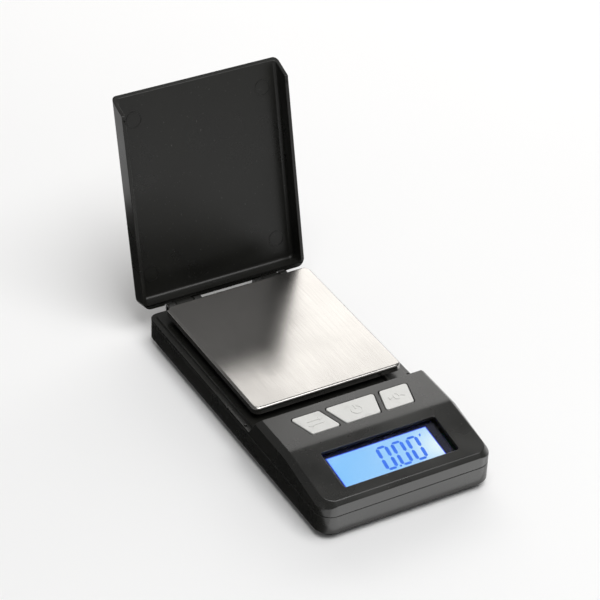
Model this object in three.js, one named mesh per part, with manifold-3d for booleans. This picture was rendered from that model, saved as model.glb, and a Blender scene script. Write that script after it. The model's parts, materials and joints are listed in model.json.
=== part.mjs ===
// A pocket scale with a flip lid: a two-piece case, a steel weighing tray on a load cell, three
// buttons and a recessed display. Millimetres, +Z up, +X to the user's right, +Y towards the hinge.
// The shapes are worked out in a frame whose Y starts at the case's front face and whose Z starts
// at the surface that the feet stand on.

import * as THREE from 'three';
import { mergeVertices } from 'three/addons/utils/BufferGeometryUtils.js';
import Module from 'manifold-3d';

const wasm = await Module();
wasm.setup();

// Case
const WIDTH = 63;
const LENGTH = 120;
const TOP = 18;
const BOTTOM = 0.6;
const SEAM = 9;
const SEAM_GAP = 0.1;
const WALL = 1.6;
const FLOOR_TOP = 2.2;
const FRONT_RADIUS = 5.5;
const REAR_RADIUS = 3;
const BOTTOM_BEVEL = 1.8;
const HALF = WIDTH / 2;
const INNER_HALF = HALF - WALL;

// Hood, the full-height front of the case
const FRONT_TOP = 13.1;
const SLOPE_START = new THREE.Vector2(1.3, 14.4);
const SLOPE_END = new THREE.Vector2(24.6, TOP);
const HOOD_REAR = 42.9;
const SKIN = 1.5;
const SIDE_INSET = 1.8;
const SIDE_DROP = 1.8;
const SLOPE_SIDE_DROP = 3;

// Rear of the case, where the lid closes
const LEDGE = 10.2;
const DECK = 11;
const DECK_HALF = 29.6;
const DECK_UNDERSIDE = 9.6;
const DECK_REAR = 118.3;
const EAR_RUN = 5.2;
const RIB_X = 21.7;
const RIB_WIDTH = 0.8;
const RIB_REAR = 56;
const RIB_TOP = 12.2;
const SPACER_HOLE_HALF = 7.5;
const SPACER_HOLE_ENDS = [55, 73];
const LATCH = new THREE.Vector2(30.7, 51.5);
const LATCH_PIN_RADIUS = 0.4;
const LATCH_HOLE_RADIUS = 0.65;

// Lid and hinge
const LID_WALL = 1.3;
const LID_RIM = LEDGE + 0.15;
const LID_GAP = 1.6;
const LID_CORNER = 1.4;
const OPEN_ANGLE = THREE.MathUtils.degToRad(103.5);
const HINGE = new THREE.Vector2(121.3, 9);
const BARREL_RADIUS = 2.1;
const LID_BARREL_RADIUS = 2;
const PIN_RADIUS = 0.75;
const PIN_BORE = 0.95;
const LUG_OUTER = [20.4, 23.2];
const LUG_INNER = [10.5, 13.3];
const LUG_MIDDLE = [13.6, 20.1];

// Weighing platform
const TRAY_WIDTH = 55.5;
const TRAY_FRONT = 51;
const TRAY_REAR = 115;
const TRAY_TOP = 15.8;
const TRAY_FLANGE = 2.5;
const TRAY_SHEET = 0.6;
const TRAY_RADIUS = 2.5;
const CARRIER_HALF = 26.6;
const CARRIER_PLATE = 1.4;
const CARRIER_RIB_FOOT = 12.7;
const CARRIER_RIB = 1.2;
const SPACER_HALF = 5;
const SPACER_ENDS = [57.2, 70.5];
const SPACER_LIFT = 0.5;

// Load cell
const CELL_WIDTH = 10;
const CELL_FRONT = 58;
const CELL_REAR = 108;
const CELL_BOTTOM = 3.6;
const CELL_TOP = 8.6;
const CELL_SCREW_SETBACK = [3.5, 8.5];
const CELL_HOLE_RADIUS = 1.9;
const CELL_HOLE_OFFSET = 6;
const CELL_SLOT = 1.6;
const CELL_PLINTH = 12;

// Buttons
const BUTTON_FRONT = 29;
const BUTTON_REAR = 39.2;
const BUTTON_SLANT = 2.8;
const BUTTON_PROUD = 0.35;
const BUTTON_GAP = 0.3;
const BUTTON_FLANGE = 0.6;
const BUTTON_FLANGE_REACH = 0.35;
const BUTTON_FOOT = 15.55;
const BUTTON_FOOT_RADIUS = 1.5;
const BUTTON_CORNER = 1.2;
const BUTTON_MIDDLE = (BUTTON_FRONT + BUTTON_REAR) / 2;
// Each button's left and right side half way up its slanted outline, and which way each side leans.
const BUTTONS = {
  mode: { sides: [-20.5, -9.5], lean: [-1, -1] },
  power: { sides: [-8, 8], lean: [-1, 1] },
  tare: { sides: [9.5, 20.5], lean: [1, 1] },
};

// Batteries, size AAA
const BATTERY_RADIUS = 5.25;
const BATTERY_LENGTH = 44.5;
const BATTERY_NUB = 0.9;
const BATTERY_ROWS = [25.15, 35.95];
const BATTERY_HEIGHT = 7.6;
const BAY_HALF = 25;
const BAY_FRONT = 19.5;
const BAY_REAR = 41.3;
const BAY_WALL = 1.2;
const BAY_WALL_TOP = 8.6;

// Battery door
const DOOR_TOP = 1.9;
const DOOR_TONGUE = 1.3;
const DOOR_GAP = 0.2;
const DOOR_TONGUE_REACH = 0.7;
const DOOR_TROUGH_TOP = 3.2;
const GRIPS = 5;
const GRIP_PITCH = 1.6;
const GRIP_WIDTH = 0.8;
const GRIP_DEPTH = 0.35;

// Boards and display
const BOARD_BOTTOM = 13.2;
const BOARD_THICKNESS = 1;
const BOARD_HALF = 28.9;
const BOARD_ENDS = [24.6, 41];
const BOARD_POSTS = [[-27.6, 26.5], [27.6, 26.5], [-27.6, 38.5], [27.6, 38.5]];
const WINDOW_HALF = 21;
const WINDOW_START = 3.9;
const WINDOW_END = 19.6;
const LENS = 0.8;
const GLASS = 1.5;
const BACKLIGHT = 1.6;
const FIT = 0.1;
const GLASS_TOP = -(SKIN + LENS + FIT);
const GLASS_BOTTOM = GLASS_TOP - GLASS;
const BACKLIGHT_TOP = GLASS_BOTTOM - FIT;
const BACKLIGHT_BOTTOM = BACKLIGHT_TOP - BACKLIGHT;
const DISPLAY_BOARD_TOP = BACKLIGHT_BOTTOM - 2 * FIT;

// Fasteners and feet
const CASE_SCREWS = [[-26.4, 7.2], [26.4, 7.2], [-26.4, 112.8], [26.4, 112.8]];
const FEET = [[-23.5, 15.5], [23.5, 15.5], [-23.5, 104.5], [23.5, 104.5]];
const CASE_SCREW = { head: 2, shank: 1, hole: 1.25, pocket: 2.3, pilot: 1.2, boss: 2.6 };
const CASE_SCREW_SEAT = 2.6;
const BOSS_BOTTOM = 4.4;
const CELL_SCREW = { head: 2, shank: 1.1, hole: 1.4, pocket: 2.3 };
const SLOT_WIDTH = 0.5;
const FOOT_RADIUS = 3.5;
const FOOT_RECESS = 0.8;

const plastic = (color, roughness) => new THREE.MeshStandardMaterial({ color, roughness, metalness: 0 });
const metal = (color, roughness) => new THREE.MeshStandardMaterial({ color, roughness, metalness: 1 });

// ---- geometry helpers ----

function solidOf(geometry) {
  const bare = geometry.clone();
  bare.deleteAttribute('normal');
  bare.deleteAttribute('uv');
  const merged = mergeVertices(bare, 1e-4);
  const vertProperties = new Float32Array(merged.attributes.position.array);
  const triVerts = new Uint32Array(merged.index.array);
  return new wasm.Manifold(new wasm.Mesh({ numProp: 3, vertProperties, triVerts }));
}

function geometryOf(solid) {
  const mesh = solid.getMesh();
  const geometry = new THREE.BufferGeometry();
  geometry.setAttribute('position', new THREE.BufferAttribute(mesh.vertProperties, 3));
  geometry.setIndex(new THREE.BufferAttribute(mesh.triVerts, 1));
  geometry.computeVertexNormals();
  return geometry;
}

// Adds the first list of geometries together and takes the second list away.
function shape(added, removed = []) {
  let solid = solidOf(added[0]);
  added.slice(1).forEach((piece) => { solid = solid.add(solidOf(piece)); });
  removed.forEach((piece) => { solid = solid.subtract(solidOf(piece)); });
  return geometryOf(solid);
}

function overlapOf(first, second) {
  return geometryOf(solidOf(first).intersect(solidOf(second)));
}

function box([x0, x1], [y0, y1], [z0, z1]) {
  const geometry = new THREE.BoxGeometry(x1 - x0, y1 - y0, z1 - z0);
  return geometry.translate((x0 + x1) / 2, (y0 + y1) / 2, (z0 + z1) / 2);
}

function post(x, y, radius, [z0, z1], sides = 16) {
  const geometry = new THREE.CylinderGeometry(radius, radius, z1 - z0, sides);
  return geometry.rotateX(Math.PI / 2).translate(x, y, (z0 + z1) / 2);
}

function rodAlongX([x0, x1], y, z, radius, sides = 18) {
  const geometry = new THREE.CylinderGeometry(radius, radius, x1 - x0, sides);
  return geometry.rotateZ(Math.PI / 2).translate((x0 + x1) / 2, y, z);
}

// A closed outline through corner points, each corner rounded by its own radius.
function roundedOutline(corners, radii) {
  const outline = new THREE.Shape();
  corners.forEach((corner, i) => {
    const before = corners[(i + corners.length - 1) % corners.length];
    const after = corners[(i + 1) % corners.length];
    const reach = radii[i];
    const start = corner.clone().add(before.clone().sub(corner).setLength(reach));
    const end = corner.clone().add(after.clone().sub(corner).setLength(reach));
    if (i === 0) outline.moveTo(start.x, start.y);
    else outline.lineTo(start.x, start.y);
    outline.quadraticCurveTo(corner.x, corner.y, end.x, end.y);
  });
  outline.closePath();
  return outline;
}

function rectangle([x0, x1], [y0, y1]) {
  return [[x0, y0], [x1, y0], [x1, y1], [x0, y1]].map(([x, y]) => new THREE.Vector2(x, y));
}

function slab(outline, [z0, z1], curveSegments = 6) {
  const geometry = new THREE.ExtrudeGeometry(outline, { depth: z1 - z0, bevelEnabled: false, curveSegments });
  return geometry.translate(0, 0, z0);
}

function roundedSlab(xs, ys, zs, radius) {
  return slab(roundedOutline(rectangle(xs, ys), [radius, radius, radius, radius]), zs);
}

// Closed outlines of [y, z] points, with the same number of points, joined from one x to the next.
function loftAlongX(stations) {
  const flat = stations[0].outline.map(([y, z]) => new THREE.Vector2(y, z));
  const clockwise = THREE.ShapeUtils.isClockWise(flat);
  const rings = stations.map(({ outline }) => (clockwise ? [...outline].reverse() : outline));
  const contour = clockwise ? flat.reverse() : flat;
  const count = contour.length;
  const positions = rings.flatMap((ring, s) => ring.flatMap(([y, z]) => [stations[s].x, y, z]));
  const index = [];
  for (let s = 0; s < rings.length - 1; s += 1) {
    for (let i = 0; i < count; i += 1) {
      const a = s * count + i;
      const b = s * count + ((i + 1) % count);
      index.push(a, b, a + count, b, b + count, a + count);
    }
  }
  const last = (rings.length - 1) * count;
  THREE.ShapeUtils.triangulateShape(contour, []).forEach(([a, b, c]) => {
    index.push(a, c, b, last + a, last + b, last + c);
  });
  const geometry = new THREE.BufferGeometry();
  geometry.setAttribute('position', new THREE.Float32BufferAttribute(positions, 3));
  geometry.setIndex(index);
  return geometry;
}

function prismAlongX(outline, [x0, x1]) {
  return loftAlongX([{ x: x0, outline }, { x: x1, outline }]);
}

const caseOutline = () => roundedOutline(
  rectangle([-HALF, HALF], [0, LENGTH]),
  [FRONT_RADIUS, FRONT_RADIUS, REAR_RADIUS, REAR_RADIUS],
);

const footprint = (z0, z1) => slab(caseOutline(), [z0, z1]);

// The same footprint with the case's bevelled bottom edge.
function bevelledFootprint() {
  return new THREE.ExtrudeGeometry(caseOutline(), {
    depth: TOP,
    bevelThickness: BOTTOM_BEVEL,
    bevelSize: BOTTOM_BEVEL,
    bevelOffset: -BOTTOM_BEVEL,
    bevelSegments: 2,
    curveSegments: 6,
  }).translate(0, 0, BOTTOM + BOTTOM_BEVEL);
}

const bothSides = (make) => [make(-1), make(1)];
const mirrored = ([low, high], side) => (side > 0 ? [low, high] : [-high, -low]);
const around = (middle, width) => [middle - width / 2, middle + width / 2];

// The display and what lies under it follow the slope: local Y runs up it and local Z leaves it.
const slope = new THREE.Group();
slope.position.set(0, SLOPE_START.x, SLOPE_START.y);
slope.rotation.x = Math.atan2(SLOPE_END.y - SLOPE_START.y, SLOPE_END.x - SLOPE_START.x);
slope.updateMatrixWorld();
const onSlope = (geometry) => geometry.applyMatrix4(slope.matrixWorld);

const scale = new THREE.Group();

function place(name, geometry, material, parent = scale) {
  const mesh = new THREE.Mesh(geometry, material);
  mesh.name = name;
  parent.add(mesh);
  return mesh;
}

// ---- lower case ----

function caseScrewHoles() {
  return CASE_SCREWS.flatMap(([x, y]) => [
    post(x, y, CASE_SCREW.hole, [0, SEAM]),
    post(x, y, CASE_SCREW.pocket, [0, CASE_SCREW_SEAT]),
  ]);
}

function hingeLugs() {
  const webTop = SEAM - SEAM_GAP / 2;
  return [LUG_OUTER, LUG_INNER].flatMap((span) => bothSides((side) => {
    const xs = mirrored(span, side);
    const barrel = rodAlongX(xs, HINGE.x, HINGE.y, BARREL_RADIUS);
    const web = prismAlongX([
      [LENGTH - 0.5, 4.2], [LENGTH - 0.5, webTop], [HINGE.x, webTop], [HINGE.x + 1.2, 7.4],
    ], xs);
    const overTheCase = box([xs[0] - 1, xs[1] + 1], [LENGTH - 3, LENGTH + 0.15], [webTop, TOP]);
    return shape([barrel, web], [overTheCase]);
  }));
}

function hingeNotches() {
  return bothSides((side) => {
    const [low, high] = mirrored(LUG_MIDDLE, side);
    return rodAlongX([low - 0.3, high + 0.3], HINGE.x, HINGE.y, LID_BARREL_RADIUS + 0.3);
  });
}

function hingeBores() {
  return bothSides((side) => rodAlongX(
    mirrored([LUG_INNER[0] - 1, LUG_OUTER[1] + 1], side), HINGE.x, HINGE.y, PIN_BORE,
  ));
}

function lowerCase() {
  const shell = overlapOf(bevelledFootprint(), box([-HALF, HALF], [0, LENGTH], [0, SEAM - SEAM_GAP / 2]));
  const inside = roundedSlab(
    [-INNER_HALF, INNER_HALF], [WALL, LENGTH - WALL], [FLOOR_TOP, TOP], REAR_RADIUS,
  );
  const cavity = shape([inside], [
    ...bayWalls(),
    ...CASE_SCREWS.map(([x, y]) => post(x, y, CASE_SCREW.boss + 0.5, [0, BOSS_BOTTOM - 0.2])),
    box(around(0, CELL_WIDTH + 2), [CELL_REAR - CELL_PLINTH, CELL_REAR + 1], [0, CELL_BOTTOM]),
  ]);
  const doorXs = [-BAY_HALF - DOOR_GAP, HALF + 1];
  const doorYs = [BAY_FRONT + DOOR_GAP, BAY_REAR - DOOR_GAP];
  const tongueYs = [BAY_FRONT - DOOR_TONGUE_REACH, BAY_REAR + DOOR_TONGUE_REACH];
  const openings = [
    box([-BAY_HALF, BAY_HALF], [BAY_FRONT, BAY_REAR], [0, FLOOR_TOP + 1]),
    box(doorXs, doorYs, [0, DOOR_TONGUE]),
    box(doorXs, tongueYs, [DOOR_TONGUE, DOOR_TOP + DOOR_GAP]),
  ];
  const cellHoles = CELL_SCREW_SETBACK.flatMap((setback) => [
    post(0, CELL_REAR - setback, CELL_SCREW.hole, [0, TOP]),
    post(0, CELL_REAR - setback, CELL_SCREW.pocket, [0, DOOR_TOP]),
  ]);
  const footRecesses = FEET.map(([x, y]) => post(x, y, FOOT_RADIUS + FIT, [0, BOTTOM + FOOT_RECESS]));
  return shape([shell], [
    cavity, ...openings, ...caseScrewHoles(), ...cellHoles, ...footRecesses, ...hingeNotches(),
  ]);
}

// Walls round the batteries, with a thicker floor where the door slides out.
function bayWalls() {
  const outer = BAY_HALF + BAY_WALL;
  return [
    box([-outer, outer], [BAY_FRONT - BAY_WALL, BAY_FRONT], [0, BAY_WALL_TOP]),
    box([-outer, outer], [BAY_REAR, BAY_REAR + BAY_WALL], [0, BAY_WALL_TOP]),
    box([-outer, -BAY_HALF], [BAY_FRONT, BAY_REAR], [0, BAY_WALL_TOP]),
    box([BAY_HALF, outer], [BAY_FRONT, BAY_REAR], [0, BAY_WALL_TOP]),
    box([BAY_HALF, HALF], [BAY_FRONT - BAY_WALL, BAY_REAR + BAY_WALL], [0, DOOR_TROUGH_TOP]),
  ];
}

place(
  'lower_case',
  shape([lowerCase(), ...hingeLugs()], hingeBores()),
  plastic(0x2a2a28, 0.55),
);

// ---- upper case ----

// The hood's side view. Its long edges drop at the sides, and more so beside the display.
function hoodOutline(drop, slopeDrop) {
  return [
    [0, SEAM + SEAM_GAP / 2],
    [0, FRONT_TOP - slopeDrop],
    [SLOPE_START.x, SLOPE_START.y - slopeDrop],
    [SLOPE_END.x, SLOPE_END.y - drop],
    [HOOD_REAR + earRun(TOP - drop), TOP - drop],
    [HOOD_REAR + EAR_RUN, LEDGE],
    [HOOD_REAR + EAR_RUN, SEAM + SEAM_GAP / 2],
  ];
}

// How far the hood's rear side corners run back at a given height.
function earRun(z) {
  return (EAR_RUN * (TOP - z)) / (TOP - LEDGE);
}

function hoodBody() {
  const loft = loftAlongX([
    { x: -HALF, outline: hoodOutline(SIDE_DROP, SLOPE_SIDE_DROP) },
    { x: -HALF + SIDE_INSET, outline: hoodOutline(0, 0) },
    { x: HALF - SIDE_INSET, outline: hoodOutline(0, 0) },
    { x: HALF, outline: hoodOutline(SIDE_DROP, SLOPE_SIDE_DROP) },
  ]);
  return overlapOf(loft, footprint(0, TOP + 1));
}

function hoodCavity() {
  const base = SEAM - 1;
  const inside = (drop, slopeDrop) => [
    [WALL, base],
    [WALL, FRONT_TOP - 0.7 - slopeDrop],
    [SLOPE_START.x + 1.3, SLOPE_START.y - SKIN + 0.2 - slopeDrop],
    [SLOPE_END.x + 0.2, TOP - SKIN - drop],
    [HOOD_REAR - SKIN, TOP - SKIN - drop],
    [HOOD_REAR - SKIN, base],
  ];
  const shoulder = INNER_HALF - SIDE_INSET;
  return loftAlongX([
    { x: -INNER_HALF, outline: inside(SIDE_DROP, SLOPE_SIDE_DROP) },
    { x: -shoulder, outline: inside(0, 0) },
    { x: shoulder, outline: inside(0, 0) },
    { x: INNER_HALF, outline: inside(SIDE_DROP, SLOPE_SIDE_DROP) },
  ]);
}

// A button's slanted outline. A gap is taken off all round, and a negative one is added.
function buttonOutline({ sides, lean }, gap) {
  const [left, right] = sides;
  const run = BUTTON_SLANT / 2;
  const corners = [
    new THREE.Vector2(left + gap - lean[0] * run, BUTTON_FRONT + gap),
    new THREE.Vector2(right - gap - lean[1] * run, BUTTON_FRONT + gap),
    new THREE.Vector2(right - gap + lean[1] * run, BUTTON_REAR - gap),
    new THREE.Vector2(left + gap + lean[0] * run, BUTTON_REAR - gap),
  ];
  return roundedOutline(corners, corners.map(() => BUTTON_CORNER));
}

function upperCase() {
  const bottom = SEAM + SEAM_GAP / 2;
  const rim = overlapOf(footprint(bottom, LEDGE), box([-HALF, HALF], [HOOD_REAR - 1, LENGTH], [0, TOP]));
  const deck = roundedSlab([-DECK_HALF, DECK_HALF], [HOOD_REAR - 1, DECK_REAR], [bottom, DECK], 1.5);
  const rib = box(around(RIB_X, RIB_WIDTH), [HOOD_REAR - 0.5, RIB_REAR], [DECK - 0.5, RIB_TOP]);
  const behindHood = box([-DECK_HALF, DECK_HALF], [HOOD_REAR, TRAY_FRONT], [DECK, TOP + 1]);
  const underDeck = box(
    [-DECK_HALF + WALL, DECK_HALF - WALL], [HOOD_REAR - 4, DECK_REAR - WALL], [0, DECK_UNDERSIDE],
  );
  const spacerHole = roundedSlab([-SPACER_HOLE_HALF, SPACER_HOLE_HALF], SPACER_HOLE_ENDS, [0, TOP], 1.5);
  const shell = shape(
    [shape([hoodBody()], [behindHood]), rim, deck, rib],
    [hoodCavity(), underDeck, spacerHole],
  );
  const windowCut = onSlope(roundedSlab(
    [-WINDOW_HALF, WINDOW_HALF], [WINDOW_START, WINDOW_END], [-5, 5], 0.8,
  ));
  const throughTop = [TOP - 3, TOP + 1];
  const buttonCuts = Object.values(BUTTONS).map((button) => slab(buttonOutline(button, 0), throughTop));
  const latchZs = [LEDGE - 0.9, TOP];
  const latchHoles = bothSides((side) => post(side * LATCH.x, LATCH.y, LATCH_HOLE_RADIUS, latchZs));
  return shape(
    [shape([shell], [windowCut, ...buttonCuts]), ...caseBosses(), ...boardPosts(), ...displayPosts()],
    [...bossPilots(), ...latchHoles, ...hingeNotches()],
  );
}

function caseBosses() {
  return CASE_SCREWS.map(([x, y]) => {
    const roof = y < HOOD_REAR ? SLOPE_START.y - SLOPE_SIDE_DROP / 2 : DECK_UNDERSIDE + 0.2;
    return post(x, y, CASE_SCREW.boss, [BOSS_BOTTOM, roof]);
  });
}

function bossPilots() {
  return CASE_SCREWS.map(([x, y]) => post(x, y, CASE_SCREW.pilot, [0, SEAM - 0.2]));
}

function boardPosts() {
  return BOARD_POSTS.map(([x, y]) => shape(
    [post(x, y, 1.8, [BOARD_BOTTOM + BOARD_THICKNESS, TOP - SKIN + 0.2])],
    [post(x, y, 0.8, [BOARD_BOTTOM, BOARD_BOTTOM + 2.6], 12)],
  ));
}

function displayPosts() {
  const x = WINDOW_HALF + 1.9;
  const zs = [DISPLAY_BOARD_TOP + FIT, -SKIN + 0.5];
  return bothSides((side) => [5, 14.5].map((y) => onSlope(post(side * x, y, 1, zs, 12)))).flat();
}

place('upper_case', upperCase(), plastic(0x2d2d2b, 0.5));

// ---- display ----

// What a person looks at and what lies behind it, from the outside in.
const displayStack = {
  display_window: [
    roundedSlab([-21.6, 21.6], [2.6, 20.4], [-SKIN - LENS - FIT / 2, -SKIN - FIT / 2], 0.8),
    plastic(0xd8e6ee, 0.08),
  ],
  lcd_glass: [
    box([-20.5, 20.5], [2.8, 20.3], [GLASS_BOTTOM, GLASS_TOP]),
    plastic(0x9cccff, 0.2),
  ],
  backlight: [
    box([-19.5, 19.5], [4.8, 18.6], [BACKLIGHT_BOTTOM, BACKLIGHT_TOP]),
    plastic(0xe8f2ff, 0.4),
  ],
  zebra_strip: [
    box([-18, 18], [2.9, 4.4], [BACKLIGHT_BOTTOM, BACKLIGHT_TOP]),
    plastic(0x3a3436, 0.8),
  ],
  display_board: [
    box([-23.4, 23.4], [2.6, 16], [DISPLAY_BOARD_TOP - BOARD_THICKNESS, DISPLAY_BOARD_TOP]),
    plastic(0x1f5a3a, 0.5),
  ],
};

Object.entries(displayStack).forEach(([name, [geometry, material]]) => {
  place(name, geometry, material, slope);
});
scale.add(slope);

// ---- buttons and the board under them ----

const middleOf = ({ sides }) => (sides[0] + sides[1]) / 2;

function buttonCap(button) {
  const cap = slab(buttonOutline(button, BUTTON_GAP), [TOP - SKIN - 0.5, TOP + BUTTON_PROUD]);
  const flangeTop = TOP - SKIN - FIT;
  const flange = slab(buttonOutline(button, -BUTTON_FLANGE_REACH), [flangeTop - BUTTON_FLANGE, flangeTop]);
  const foot = post(middleOf(button), BUTTON_MIDDLE, BUTTON_FOOT_RADIUS, [BUTTON_FOOT, TOP - SKIN]);
  return shape([cap, flange, foot]);
}

Object.entries(BUTTONS).forEach(([name, button]) => {
  place(`${name}_button`, buttonCap(button), plastic(0xc9c9c6, 0.35));
});

function switchBoard() {
  const top = BOARD_BOTTOM + BOARD_THICKNESS;
  const board = roundedSlab([-BOARD_HALF, BOARD_HALF], BOARD_ENDS, [BOARD_BOTTOM, top], 1);
  return shape([board], BOARD_POSTS.map(([x, y]) => post(x, y, 1, [0, TOP])));
}

function tactSwitch(x) {
  const base = BOARD_BOTTOM + BOARD_THICKNESS;
  return shape([
    box(around(x, 5), around(BUTTON_MIDDLE, 5), [base, base + 0.6]),
    post(x, BUTTON_MIDDLE, 1.6, [base + 0.3, base + 0.8]),
  ]);
}

place('main_board', switchBoard(), plastic(0x1f5a3a, 0.5));
Object.entries(BUTTONS).forEach(([name, button]) => {
  place(`${name}_switch`, tactSwitch(middleOf(button)), metal(0xb9b9b4, 0.4));
});
place(
  'controller_chip',
  box([-5, 5], [25, 28.4], [BOARD_BOTTOM + BOARD_THICKNESS, BOARD_BOTTOM + BOARD_THICKNESS + 1.4]),
  plastic(0x141414, 0.6),
);

function boardScrew(x, y) {
  return shape([
    post(x, y, 1.4, [BOARD_BOTTOM - 1, BOARD_BOTTOM]),
    post(x, y, 0.6, [BOARD_BOTTOM - 0.2, BOARD_BOTTOM + 2.4], 12),
  ], [box(around(x, 2), around(y, SLOT_WIDTH), [0, BOARD_BOTTOM - 0.6])]);
}

['left', 'right'].forEach((side, i) => {
  const [x, y] = BOARD_POSTS[i + 2];
  place(`board_screw_${side}`, boardScrew(x, y), metal(0xa8a8a4, 0.35));
});

// A flat ribbon folded from the main board down to the back of the display board.
function ribbonCable() {
  const middle = new THREE.CatmullRomCurve3([
    new THREE.Vector3(0, 26.2, 14.4),
    new THREE.Vector3(0, 24.4, 14.4),
    new THREE.Vector3(0, 23.3, 13.9),
    new THREE.Vector3(0, 22.4, 12.8),
    new THREE.Vector3(0, 20.9, 11.2),
    new THREE.Vector3(0, 19.4, 10),
    new THREE.Vector3(0, 17.8, 9.6),
    new THREE.Vector3(0, 16.2, 9.5),
  ]);
  const points = middle.getPoints(16);
  const edge = (offset) => points.map((point, i) => {
    const tangent = middle.getTangent(i / 16);
    return [point.y - tangent.z * offset, point.z + tangent.y * offset];
  });
  return prismAlongX([...edge(0.12), ...edge(-0.12).reverse()], [8, 20]);
}

place('ribbon_cable', ribbonCable(), plastic(0xcfc9bd, 0.6));

// ---- batteries and their contacts ----

function batteryCell() {
  const half = BATTERY_LENGTH / 2;
  const shoulder = half - BATTERY_NUB;
  const profile = [
    [0, -half], [BATTERY_RADIUS - 0.4, -half], [BATTERY_RADIUS, -half + 0.4],
    [BATTERY_RADIUS, shoulder - 0.5], [BATTERY_RADIUS - 0.5, shoulder],
    [1.9, shoulder], [1.9, half - 0.2], [1.7, half], [0, half],
  ].map(([r, y]) => new THREE.Vector2(r, y));
  return new THREE.LatheGeometry(profile, 20).rotateZ(-Math.PI / 2);
}

['front', 'rear'].forEach((row, i) => {
  const cell = place(`battery_${row}`, batteryCell(), plastic(0x2f5f9a, 0.35));
  cell.position.set(0, BATTERY_ROWS[i], BATTERY_HEIGHT);
  cell.rotation.z = i * Math.PI;
});

const CONTACT_FACE = 24.4;

function contactPlate(side, ys) {
  return box(mirrored([CONTACT_FACE, CONTACT_FACE + 0.4], side), ys, [FLOOR_TOP + 0.6, 12]);
}

// The raised boss that reaches a cell's positive end.
function contactBoss(side, row) {
  const reach = [BATTERY_LENGTH / 2 + 0.15, CONTACT_FACE + 0.2];
  return rodAlongX(mirrored(reach, side), BATTERY_ROWS[row], BATTERY_HEIGHT, 1.8);
}

function contactSpring() {
  const turns = 2.5;
  const depth = CONTACT_FACE - BATTERY_LENGTH / 2 - 0.9;
  const points = [];
  for (let i = 0; i <= 40; i += 1) {
    const t = i / 40;
    const angle = t * turns * 2 * Math.PI;
    const radius = 3.6 - 1.8 * t;
    points.push(new THREE.Vector3(-t * depth, radius * Math.cos(angle), radius * Math.sin(angle)));
  }
  const section = new THREE.Shape().absarc(0, 0, 0.25, 0, 2 * Math.PI);
  const path = new THREE.CatmullRomCurve3(points);
  return new THREE.ExtrudeGeometry(section, { steps: 36, curveSegments: 3, extrudePath: path });
}

const steelBright = () => metal(0xc8c8c4, 0.3);
const betweenCells = (BATTERY_ROWS[0] + BATTERY_ROWS[1]) / 2;
const frontHalf = [BAY_FRONT + 0.6, betweenCells - 0.6];
const rearHalf = [betweenCells + 0.6, BAY_REAR - 0.6];
place('contact_positive', shape([contactPlate(1, frontHalf), contactBoss(1, 0)]), steelBright());
place('contact_negative', contactPlate(1, rearHalf), steelBright());
place(
  'contact_bridge',
  shape([contactPlate(-1, [frontHalf[0], rearHalf[1]]), contactBoss(-1, 1)]),
  steelBright(),
);

['front', 'rear'].forEach((row, i) => {
  const side = i === 0 ? -1 : 1;
  const spring = place(`contact_spring_${row}`, contactSpring(), steelBright());
  spring.position.set(side * (CONTACT_FACE - 0.4), BATTERY_ROWS[i], BATTERY_HEIGHT);
  spring.rotation.z = side < 0 ? Math.PI : 0;
});

// ---- battery door ----

function batteryDoor() {
  const xs = [-BAY_HALF, HALF];
  const panelYs = [BAY_FRONT + 2 * DOOR_GAP, BAY_REAR - 2 * DOOR_GAP];
  const reach = DOOR_TONGUE_REACH - DOOR_GAP;
  const tongueYs = [BAY_FRONT - reach, BAY_REAR + reach];
  const door = shape([
    box(xs, panelYs, [BOTTOM, DOOR_TOP]),
    box(xs, tongueYs, [DOOR_TONGUE + FIT, DOOR_TOP]),
  ]);
  const grips = [];
  for (let i = 0; i < GRIPS; i += 1) {
    const x = BAY_HALF - i * GRIP_PITCH;
    grips.push(box([x, x + GRIP_WIDTH], [30, 38], [0, BOTTOM + GRIP_DEPTH]));
  }
  return shape([overlapOf(door, bevelledFootprint())], grips);
}

place('battery_door', batteryDoor(), plastic(0x2a2a28, 0.55));

// ---- load cell ----

function loadCell() {
  const beam = box(around(0, CELL_WIDTH), [CELL_FRONT, CELL_REAR], [CELL_BOTTOM, CELL_TOP]);
  const middle = (CELL_FRONT + CELL_REAR) / 2;
  const height = (CELL_BOTTOM + CELL_TOP) / 2;
  const wide = around(0, CELL_WIDTH + 2);
  const screwHoles = CELL_SCREW_SETBACK.flatMap((setback) => [
    post(0, CELL_REAR - setback, 1.25, [0, TOP]),
    post(0, CELL_FRONT + setback, 1.5, [0, TOP]),
  ]);
  return shape([beam], [
    rodAlongX(wide, middle - CELL_HOLE_OFFSET, height, CELL_HOLE_RADIUS),
    rodAlongX(wide, middle + CELL_HOLE_OFFSET, height, CELL_HOLE_RADIUS),
    box(wide, around(middle, 2 * CELL_HOLE_OFFSET), around(height, CELL_SLOT)),
    ...screwHoles,
  ]);
}

place('load_cell', loadCell(), metal(0xc2c3c2, 0.45));
place(
  'strain_gauge_cover',
  roundedSlab([-4, 4], [74, 92], [CELL_TOP, CELL_TOP + 0.8], 1),
  plastic(0xe9e6dc, 0.8),
);

function cellCable() {
  const route = new THREE.CatmullRomCurve3([
    new THREE.Vector3(5.3, 76, 7.9),
    new THREE.Vector3(9, 72, 6.6),
    new THREE.Vector3(13, 64, 4.6),
    new THREE.Vector3(20, 54, 4.2),
    new THREE.Vector3(26, 49.5, 5),
    new THREE.Vector3(27.2, 45, 6),
    new THREE.Vector3(27.2, 41, 7.4),
    new THREE.Vector3(27.4, 37.6, 9.6),
    new THREE.Vector3(27.3, 35, 11.8),
    new THREE.Vector3(27.2, 33, 12.45),
  ]);
  const section = new THREE.Shape().absarc(0, 0, 0.6, 0, 2 * Math.PI);
  return new THREE.ExtrudeGeometry(section, { steps: 26, curveSegments: 4, extrudePath: route });
}

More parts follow.
